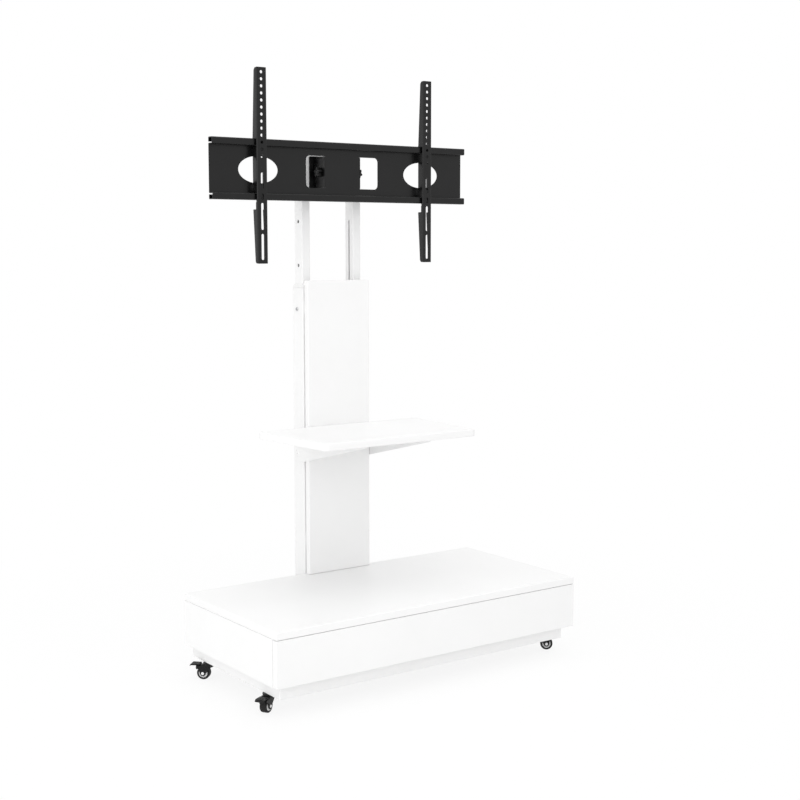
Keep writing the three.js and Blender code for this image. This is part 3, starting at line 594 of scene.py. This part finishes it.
def outer_post(side):
    """Tube with holes in its outer wall for the height bolt and the shelf's bolts."""
    wall = side * (POST_X + OUTER["half"])
    drills = [
        rod_x(MAST_MIDDLE, z, wall - DRILL, wall + DRILL, BOLT_HOLE)
        for z in (LOCK_HEIGHT, *SHELF_BOLTS)
    ]
    return cut(square_tube(side * POST_X, OUTER), *drills)


def inner_post(side):
    """Tube with height holes in its outer wall and a long slot in its inner one."""
    wall = side * (POST_X + INNER["half"])
    drills = [
        rod_x(MAST_MIDDLE, LOCK_HEIGHT + step * HOLE_PITCH, wall - DRILL, wall + DRILL, LOCK_HOLE)
        for step in LOCK_STEPS
    ]
    inner_wall = side * (POST_X - INNER["half"])
    opening = slot(MAST_MIDDLE, CABLE_SLOT["low"], CABLE_SLOT["high"], CABLE_SLOT["half"])
    groove = plate_x(opening, [], inner_wall - DRILL, inner_wall + DRILL)
    return cut(square_tube(side * POST_X, INNER), *drills, groove)


def height_bolt(side):
    tip, seat = side * HEIGHT_BOLT["tip"], side * HEIGHT_BOLT["seat"]
    head = button_head(radius=4.6, height=2.6, socket=1.9)
    shank = sorted((tip, seat + side * 0.2))
    return together(
        moved(head, shift(seat, MAST_MIDDLE, LOCK_HEIGHT) @ point_x(side)),
        rod_x(MAST_MIDDLE, LOCK_HEIGHT, *shank, HEIGHT_BOLT["shank"]),
    )


for side, name in SIDES:
    place(f"outer_post_{name}_piece", outer_post(side), "steel_white", [f"outer_post_{name}"])
    bolts = together(*[post_bolt(side * POST_X, z) for z in POST_BOLTS])
    place(f"post_bolts_{name}", bolts, "zinc", body="cabinet")
    place(f"inner_post_{name}_piece", inner_post(side), "steel_white", [f"inner_post_{name}"])
soft_nodes(
    ["collar_left", "collar_right", "post_cap_left", "post_cap_right"],
    "plastic_white",
    PLASTIC_EDGE,
)
for side, name in SIDES:
    place(f"height_bolt_{name}_piece", height_bolt(side), "zinc", [f"height_bolt_{name}"])


# Shelf brackets, with their bolts and screws, and cross bar

STEEL_EDGE = 0.3

soft_nodes(["shelf_bracket_left", "shelf_bracket_right", "cross_bar"], "steel_white", STEEL_EDGE)


# Head

SHEET = 2
BEND = 1.6
PLATE_MIDDLE = 1113
PLATE_HALF = 342.4
PLATE_BACK = 139
RAIL_FRONT = 121.7
RAIL_HEIGHT = 15
RAIL_TOP = PLATE_MIDDLE + 66.2
RAIL_BOTTOM = PLATE_MIDDLE - 66.2
LIP = 10.4
OVAL = {"x": 221.3, "half_length": 49.9, "half_height": 29.5}
WINDOW = {"half": 98, "half_height": 36, "corner": 10}
CHEEK = 48.6
CHEEK_BACK = 175.5
CHEEK_CORNER = 6
TILT_Y = 154.5
TILT_Z = PLATE_MIDDLE
TILT_HOLE = 4
PUNCH = (PLATE_BACK - 4, PLATE_BACK + 2)  # how far the tools for its openings reach along Y


def pressed_sheet():
    """The plate and its two box rails, bent from one sheet."""
    edge = SHEET / 2
    back = PLATE_BACK - edge
    front = RAIL_FRONT + edge
    section = bent([
        (back, RAIL_BOTTOM + LIP),
        (back, RAIL_BOTTOM + edge),
        (front, RAIL_BOTTOM + edge),
        (front, RAIL_BOTTOM + RAIL_HEIGHT - edge),
        (back, RAIL_BOTTOM + RAIL_HEIGHT - edge),
        (back, RAIL_TOP - RAIL_HEIGHT + edge),
        (front, RAIL_TOP - RAIL_HEIGHT + edge),
        (front, RAIL_TOP - edge),
        (back, RAIL_TOP - edge),
        (back, RAIL_TOP - LIP),
    ], SHEET, BEND)
    return plate_x(section, [], -PLATE_HALF, PLATE_HALF)


def openings(side):
    """The oval and the window part in one half of the plate."""
    oval = ellipse(side * OVAL["x"], PLATE_MIDDLE, OVAL["half_length"], OVAL["half_height"], 72)
    inner, outer = side * (CHEEK - SHEET), side * WINDOW["half"]
    low, high = PLATE_MIDDLE - WINDOW["half_height"], PLATE_MIDDLE + WINDOW["half_height"]
    window = rounded([
        (inner, high), (inner, low), (outer, low, WINDOW["corner"]), (outer, high, WINDOW["corner"])
    ], steps=8)
    return [plate_y(oval, [], *PUNCH), plate_y(window, [], *PUNCH)]


def cheek(side):
    """The flap between window and plate middle, folded back to the tilt stud."""
    front = PLATE_BACK - SHEET
    top = WINDOW["half_height"] - 1
    outline = rounded([
        (front, TILT_Z - top), (CHEEK_BACK, TILT_Z - top, CHEEK_CORNER),
        (CHEEK_BACK, TILT_Z + top, CHEEK_CORNER), (front, TILT_Z + top),
    ], steps=6)
    hole = circle(TILT_Y, TILT_Z, TILT_HOLE, 32)
    return plate_x(outline, [hole], *sorted((side * CHEEK, side * (CHEEK - SHEET))))


def cross_plate():
    sheet = cut(pressed_sheet(), *openings(LEFT), *openings(RIGHT))
    return joined(sheet, cheek(LEFT), cheek(RIGHT))


head_plate = softened(cross_plate(), STEEL_EDGE, angle=40)
place("cross_plate_piece", head_plate, "steel_black", ["cross_plate"])
soft_nodes(["pivot_bracket"], "steel_black", STEEL_EDGE)

KNOB = CHEEK + 0.3  # inner face of a knob
KNOB_LENGTH = 11.5
KNOB_RADIUS = 9
LOBES = 5
LOBE = 2.2
STUD_RADIUS = 3.6


def star_knob():
    """Knob about Z with five lobes, round edges and a shallow dish in its outer face."""
    profile = [  # height, inset, and how much of the lobes is left there
        (0, 2.2, 1), (0.5, 0.8, 1), (1.6, 0, 1), (KNOB_LENGTH - 2.2, 0, 1),
        (KNOB_LENGTH - 0.7, 0.7, 1), (KNOB_LENGTH, 2.2, 1), (KNOB_LENGTH, 3.6, 0.4),
        (KNOB_LENGTH - 0.9, 4.4, 0),
    ]
    steps = 100
    bm = bmesh.new()
    rings = []
    for height, inset, wave in profile:
        ring = []
        for a in full_turn(steps):
            r = KNOB_RADIUS - inset + LOBE * wave * math.cos(LOBES * a)
            ring.append(bm.verts.new((r * math.cos(a), r * math.sin(a), height)))
        rings.append(ring)
    bridged(bm, rings, steps)
    bm.faces.new(rings[0][::-1])
    bm.faces.new(rings[-1])
    return from_bmesh(bm)


for side, name in SIDES:
    knob = moved(star_knob(), shift(side * KNOB, TILT_Y, TILT_Z) @ point_x(side))
    place(f"tilt_knob_{name}_piece", knob, "plastic_black", [f"tilt_knob_{name}"])
tilt_stud = rod_x(TILT_Y, TILT_Z, -KNOB - 1, KNOB + 8, STUD_RADIUS, 40)
place("tilt_stud", tilt_stud, "zinc", body="knob_left")


# Arms

ARM_X = 224.5
ARM_FRONT = 114.5
ARM_TOP = 1331
ARM_BOTTOM = ARM_TOP - 422.5
ARM_HALF = 13
ARM_CORNER = 2.5
ARM_HOLE = 3.4  # radius of a hole, and half the width of a slot
ARM_FIRST_HOLE = 10
ARM_HOLE_PITCH = 15
ARM_HOLES = [ARM_TOP - ARM_FIRST_HOLE - ARM_HOLE_PITCH * k for k in range(13)]
ARM_SLOTS = ((1069, 1106), (1047.6, 1060.6), (982, 1040.5), (916.5, 973.5))
FLANGE = {"deep": 18, "slim": 10.3, "low": 6.3}  # depths behind the arm's front
FLANGE_NOTCH = (1026.5, 1041)  # low stretch under the lower rail
FLANGE_AT_WEB = (1079.5, 1142.5)  # deep stretch between the two rails
HOOK_HOLE = ARM_HOLES[11]
SPARE_HOLE = HOOK_HOLE + ARM_HOLE_PITCH
HOOK_SHEET = 2.5
HOOK_HALF = 8
CLIP_HALF = 7
SEAT = 0.3  # between a hook or clip and what it touches
HOOK_LEG = ARM_FRONT + SHEET + SEAT + HOOK_SHEET / 2
CLIP_LEG = ARM_FRONT + SHEET + SEAT + SHEET / 2


def screen_arm():
    """Channel with notched and tapering flanges, cut to its two outlines."""
    middle = ARM_HALF - SHEET / 2
    web, back = ARM_FRONT + SHEET / 2, ARM_FRONT + 30
    channel = bent([(-middle, back), (-middle, web), (middle, web), (middle, back)], SHEET, BEND)
    deep, slim, low = [ARM_FRONT + FLANGE[name] for name in ("deep", "slim", "low")]
    notch_low, notch_high = FLANGE_NOTCH
    web_low, web_high = FLANGE_AT_WEB
    sheet = ARM_FRONT + SHEET
    side_view = rounded([
        (ARM_FRONT - 2, ARM_BOTTOM),
        (slim - 3, ARM_BOTTOM + 0.5, 1),
        (slim, ARM_BOTTOM + 5, 1),
        (deep, notch_low, 1.5),
        (low, notch_low, 1.5),
        (low, notch_high, 1.5),
        (sheet, RAIL_BOTTOM - 1),
        (sheet, web_low),
        (deep, web_low, 1.5),
        (deep, web_high, 1.5),
        (sheet, web_high),
        (sheet, RAIL_TOP + SEAT),
        (deep, RAIL_TOP + SEAT, 1),
        (slim, ARM_TOP - 6, 2),
        (slim - 4, ARM_TOP - 1, 1),
        (ARM_FRONT + 2, ARM_TOP),
        (ARM_FRONT - 2, ARM_TOP),
    ], steps=4)
    front_view = rectangle(-ARM_HALF, ARM_HALF, ARM_BOTTOM, ARM_TOP, ARM_CORNER)
    slots = [slot(0, start + ARM_HOLE, end - ARM_HOLE, ARM_HOLE) for start, end in ARM_SLOTS]
    holes = [circle(0, z, ARM_HOLE, 28) for z in ARM_HOLES]
    return combined(plate(channel, [], ARM_BOTTOM, ARM_TOP), [
        plate_x(side_view, [], -ARM_HALF - 5, ARM_HALF + 5),
        plate_y(front_view, [*slots, *holes], ARM_FRONT - 5, back),
    ], "INTERSECT")


def arm_screw(z, back):
    """Screw through the arm: a sunk head with a hexagonal socket and a shank up to back."""
    head = revolved([(0, 0), (2.5, 0), (2.9, 0.4), (2.9, 1.8), (0, 1.8)], 32)
    head = moved(head, shift(0, ARM_FRONT + 0.2, z) @ point_y())
    socket = rod_y(0, z, ARM_FRONT - 1, ARM_FRONT + 1.3, 1.5, 6)
    return together(cut(head, socket), rod_y(0, z, ARM_FRONT + 1.9, back, 2.4))


def arm_hook():
    """Sheet strip from its screw in the arm over the top rail and down behind it."""
    over = RAIL_TOP + SEAT + HOOK_SHEET / 2
    behind = PLATE_BACK + SEAT + HOOK_SHEET / 2
    side_view = bent([
        (HOOK_LEG, HOOK_HOLE - 8),
        (HOOK_LEG, over),
        (behind, over),
        (behind, RAIL_TOP - 8),
    ], HOOK_SHEET, 2)
    spare_hole = rod_y(0, SPARE_HOLE, HOOK_LEG - 3, HOOK_LEG + 3, 2.6)
    return cut(plate_x(side_view, [], -HOOK_HALF, HOOK_HALF), spare_hole)


def arm_clip():
    """Sheet angle from its screw in the arm to under the bottom rail."""
    under = RAIL_BOTTOM - SEAT - SHEET / 2
    side_view = bent([
        (CLIP_LEG, RAIL_BOTTOM + 20),
        (CLIP_LEG, under),
        (RAIL_FRONT + 8, under),
    ], SHEET, 2)
    return plate_x(side_view, [], -CLIP_HALF, CLIP_HALF)


# An arm's edges stay sharp, because its short edges would clamp a bevel to nothing.
arm_mesh = merged(screen_arm())
hook_mesh = softened(arm_hook(), STEEL_EDGE, angle=40)
clip_mesh = softened(arm_clip(), STEEL_EDGE, angle=40)
screws = together(arm_screw(HOOK_HOLE, HOOK_LEG), arm_screw(RAIL_BOTTOM + 5, CLIP_LEG))
for side, name in SIDES:
    at = shift(side * ARM_X)
    place(f"arm_{name}_piece", arm_mesh, "steel_black", [f"arm_{name}"], matrix=at)
    place(f"arm_hook_{name}_piece", hook_mesh, "steel_black", [f"arm_hook_{name}"], matrix=at)
    place(f"arm_clip_{name}_piece", clip_mesh, "steel_black", [f"arm_clip_{name}"], matrix=at)
    place(f"arm_screws_{name}", screws, "steel_black", body=f"screen_arm_{name}", matrix=at)


# Casters, each made about its own swivel axis with the wheel trailing towards +X

CASTER_X = 372
CASTER_FRONT = -141.7
CASTER_BACK = 115.5
WHEEL_RADIUS = 14.5
TRAIL = 12
LEG_OUTER = 10.6
LEG_INNER = 8.6
FOOT = 6.3  # radius of a leg's foot round the axle
FORK_EDGE = 0.25
RIVET_X = 25.5
RIVET_Z = 28.5
SHOE_FRONT = 23.5
SHOE_TOP = 33
SHOE_HALF = 6.5
PEDAL = {"root": 19.5, "tip": 42.1, "under": 31.8, "top": 34.9, "half": 9.5}
RIBS = {"x": (28, 31, 34, 37), "half": 8, "width": 1.2, "height": 0.6}

# Place, heading in degrees, and whether the caster has a brake
CASTERS = {
    "front_left": (-CASTER_X, CASTER_FRONT, 210, True),
    "front_right": (CASTER_X, CASTER_FRONT, 321, False),
    "back_left": (-CASTER_X, CASTER_BACK, 134, True),
    "back_right": (CASTER_X, CASTER_BACK, 36, False),
}


def about_axle(profile):
    return moved(revolved(profile, 56), shift(TRAIL, 0, WHEEL_RADIUS) @ point_y())


def tyre():
    line = mirrored([
        (10.0, 7.6), (12.0, 8.0), (13.3, 7.8), (14.0, 7.1), (14.4, 6.0), (14.5, 4.6), (14.5, 1.5)
    ])
    return about_axle([*line, line[0]])


def wheel_core():
    """Dished core with its hub, and the axle with a domed cap outside each leg."""
    return about_axle(mirrored([
        (9.6, 7.4), (9.3, 7.8), (8.5, 7.8), (8.0, 7.4), (7.6, 6.4), (4.6, 6.2), (3.8, 6.4),
        (3.6, 7.8), (2.1, 7.8), (2.1, 10.9), (3.3, 10.9), (3.3, 11.4), (2.9, 11.9), (0, 12.1),
    ]))


def caster_fork(braked):
    """Swivel housing with two legs, cut out for the wheel, the brake and the pin's head."""
    housing = revolved([
        (0, 27.4), (8.2, 27.4), (9, 27.8), (12.5, 30.7), (12.9, 31.6), (13.1, 34.9),
        (12.9, 35.6), (12.3, 36.2), (0, 36.2),
    ], 56)
    back = [(27.5, 30.7, 1.5), (28, 25.5, 1.5), (22, 24, 1.5)] if braked else [(21, 29.5, 1.5)]
    foot = [-math.pi * k / 18 for k in range(1, 19)]
    outline = rounded([
        (-4, 26), (-1, 33.5, 2), (14, 33.3, 4), (19, 31.1, 2),
        *back,
        (TRAIL + FOOT, WHEEL_RADIUS - 1),
        *[(TRAIL + FOOT * math.cos(a), WHEEL_RADIUS + FOOT * math.sin(a)) for a in foot],
    ])
    legs = plate_y(outline, [], -LEG_OUTER, LEG_OUTER, 0.5)
    room = (-LEG_INNER, LEG_INNER)
    tools = [
        rod_y(TRAIL, WHEEL_RADIUS, *room, WHEEL_RADIUS + 1.6, 64),
        plate_y(rectangle(TRAIL - 40, TRAIL + 40, -10, WHEEL_RADIUS), [], *room),
        plate_y(rectangle(SHOE_FRONT - 1, 40, 0, 40), [], *room),
        rod_y(TRAIL, WHEEL_RADIUS, -13, 13, 2.5, 28),
        revolved([(0, 20), (6.6, 20), (6.6, 32.4), (4, 32.4), (4, 40), (0, 40)], 40),
    ]
    return cut(joined(housing, legs), *tools)


def caster_pin():
    """Pin with a head inside the housing, a flange under the plinth and a stem into it."""
    return revolved([
        (0, 30.4), (5.4, 30.4), (6, 31), (6, 32), (3.7, 32), (3.7, 36.6), (13.4, 36.6),
        (13.7, 36.9), (13, 38.1), (12, 38.6), (11.2, 38.7), (4, 38.7), (4, 61.5), (3.5, 62),
        (0, 62),
    ], 56)


def brake_lever():
    """Pedal with a turned-down tip and ribs, and the shoe under it."""
    root, tip, under, top = [PEDAL[name] for name in ("root", "tip", "under", "top")]
    pedal = rounded([
        (root, under, 0.5), (39.3, 31.3, 2), (tip, 29.1, 0.4), (tip, 31.3, 1), (39.3, top, 2.5),
        (root, top, 1),
    ])
    shoe = rounded([
        (SHOE_FRONT + 2.3, 22, 0.4), (SHOE_FRONT + 5, 22, 0.6), (SHOE_FRONT + 5, SHOE_TOP),
        (SHOE_FRONT, SHOE_TOP), (SHOE_FRONT, 28, 0.6),
    ], steps=4)
    half = RIBS["width"] / 2
    ribs = [
        plate_y(
            rectangle(x - half, x + half, top - RIBS["height"], top, 0.3),
            [], -RIBS["half"], RIBS["half"],
        )
        for x in RIBS["x"]
    ]
    return together(
        plate_y(pedal, [], -PEDAL["half"], PEDAL["half"], 0.6),
        plate_y(shoe, [], -SHOE_HALF, SHOE_HALF, 0.3, 1),
        *ribs,
    )


def lever_rivet():
    """Steel pin that a brake lever turns on, with a rolled head outside each leg of its fork."""
    line = mirrored([(1.5, LEG_OUTER), (2.1, 10.7), (2.1, 11), (1.6, 11.4), (0, 11.4)])
    return moved(revolved(line, 28), shift(RIVET_X, 0, RIVET_Z) @ point_y())


forks = {flag: softened(caster_fork(flag), FORK_EDGE, angle=45) for flag in (True, False)}
for name, (x, y, heading, braked) in CASTERS.items():
    at = shift(x, y) @ Matrix.Rotation(math.radians(heading), 4, "Z")
    place(f"fork_{name}_piece", forks[braked], "plastic_black", [f"fork_{name}"], matrix=at)
    place(f"tyre_{name}_piece", tyre(), "tyre_black", [f"tyre_{name}"], matrix=at)
    place(f"wheel_{name}_piece", wheel_core(), "wheel_white", [f"wheel_{name}"], matrix=at)
    place(
        f"caster_pin_{name}_piece", caster_pin(), "steel_black", [f"caster_pin_{name}"], matrix=at
    )
    if braked:
        place(f"brake_{name}_piece", brake_lever(), "plastic_black", [f"brake_{name}"], matrix=at)
        place(f"lever_rivet_{name}", lever_rivet(), "steel_black", body=f"lever_{name}", matrix=at)


# Floor, light and camera

FILL = 0.71  # the world's light on matt surfaces
FLOOR_SIZE = 60
FLOOR_COLOUR = (0.94, 0.94, 0.94, 1)
SHADOW_REACH = (0.45, 1.5)  # metres from the middle between which the floor turns plain white
NEAR_WHITE = 0.88  # share of plain white in the floor nearer than that
CAMERA = {"yaw": 35.921, "pitch": -6.423, "lens": 62.25, "at": (-1.768, -2.5267, 0.9509)}
LAMPS = {
    "key": {"at": (-2.4, -3.6, 1.9), "aim": (0, 0, 0.6), "size": 3.8, "power": 48},
    "left": {"at": (-4.0, -0.2, 1.8), "aim": (0, 0, 0.6), "size": 3.6, "power": 32},
    "top": {"at": (0.2, -0.4, 4.2), "aim": (0, 0, 0.4), "size": 4.0, "power": 54},
}


def seen_directly(tree):
    """1 for what the camera, a mirror or clear glass shows, 0 for light on a matt surface."""
    path = tree.nodes.new("ShaderNodeLightPath")
    fac = path.outputs["Is Camera Ray"]
    for other in ("Is Glossy Ray", "Is Transmission Ray"):
        step = tree.nodes.new("ShaderNodeMath")
        step.operation = "MAXIMUM"
        tree.links.new(fac, step.inputs[0])
        tree.links.new(path.outputs[other], step.inputs[1])
        fac = step.outputs[0]
    return fac


def floor():
    """A white floor: near the object it still takes the shadow, farther out it is plain white."""
    bpy.ops.mesh.primitive_plane_add(size=FLOOR_SIZE, location=(0, 0, 0))
    plane = bpy.context.object
    plane.name = "floor"
    material = bpy.data.materials.new("pale_floor")
    material.use_nodes = True
    tree = material.node_tree
    tree.nodes.clear()
    lit = tree.nodes.new("ShaderNodeBsdfDiffuse")
    lit.inputs["Color"].default_value = FLOOR_COLOUR
    white = tree.nodes.new("ShaderNodeEmission")
    white.inputs["Strength"].default_value = 1.0
    spot = tree.nodes.new("ShaderNodeTexCoord")
    away = tree.nodes.new("ShaderNodeVectorMath")
    away.operation = "LENGTH"
    share = tree.nodes.new("ShaderNodeMapRange")
    share.interpolation_type = "SMOOTHSTEP"
    share.inputs["From Min"].default_value = SHADOW_REACH[0]
    share.inputs["From Max"].default_value = SHADOW_REACH[1]
    share.inputs["To Min"].default_value = NEAR_WHITE
    share.inputs["To Max"].default_value = 1.0
    both = tree.nodes.new("ShaderNodeMath")
    both.operation = "MULTIPLY"
    mix = tree.nodes.new("ShaderNodeMixShader")
    out = tree.nodes.new("ShaderNodeOutputMaterial")
    tree.links.new(spot.outputs["Object"], away.inputs[0])
    tree.links.new(away.outputs["Value"], share.inputs["Value"])
    tree.links.new(share.outputs["Result"], both.inputs[0])
    tree.links.new(seen_directly(tree), both.inputs[1])
    tree.links.new(both.outputs[0], mix.inputs["Fac"])
    tree.links.new(lit.outputs[0], mix.inputs[1])
    tree.links.new(white.outputs[0], mix.inputs[2])
    tree.links.new(mix.outputs[0], out.inputs["Surface"])
    plane.data.materials.append(material)


def plain_background(tree, strength):
    light = tree.nodes.new("ShaderNodeBackground")
    light.inputs["Color"].default_value = (1, 1, 1, 1)
    light.inputs["Strength"].default_value = strength
    return light


def world():
    """Plain white where it is seen, and an even fill light on matt surfaces."""
    setting = bpy.data.worlds.new("studio")
    bpy.context.scene.world = setting
    setting.use_nodes = True
    tree = setting.node_tree
    tree.nodes.clear()
    fill = plain_background(tree, FILL)
    white = plain_background(tree, 1.0)
    mix = tree.nodes.new("ShaderNodeMixShader")
    out = tree.nodes.new("ShaderNodeOutputWorld")
    tree.links.new(seen_directly(tree), mix.inputs["Fac"])
    tree.links.new(fill.outputs[0], mix.inputs[1])
    tree.links.new(white.outputs[0], mix.inputs[2])
    tree.links.new(mix.outputs[0], out.inputs["Surface"])


def lamp(name, at, aim, size, power):
    data = bpy.data.lights.new(name, "AREA")
    data.shape = "SQUARE"
    data.size = size
    data.energy = power
    obj = bpy.data.objects.new(name, data)
    obj.location = at
    obj.rotation_euler = (Vector(aim) - Vector(at)).to_track_quat("-Z", "Y").to_euler()
    bpy.context.scene.collection.objects.link(obj)


def camera():
    yaw, pitch = math.radians(CAMERA["yaw"]), math.radians(CAMERA["pitch"])
    look = Vector((
        math.sin(yaw) * math.cos(pitch), math.cos(yaw) * math.cos(pitch), math.sin(pitch)
    ))
    data = bpy.data.cameras.new("camera")
    data.sensor_width = 36
    data.lens = CAMERA["lens"]
    data.clip_end = 100
    obj = bpy.data.objects.new("camera", data)
    obj.location = CAMERA["at"]
    obj.rotation_euler = look.to_track_quat("-Z", "Y").to_euler()
    bpy.context.scene.collection.objects.link(obj)
    bpy.context.scene.camera = obj


floor()
world()
for name, values in LAMPS.items():
    lamp(name, **values)
camera()
bpy.context.scene.view_settings.view_transform = "Standard"
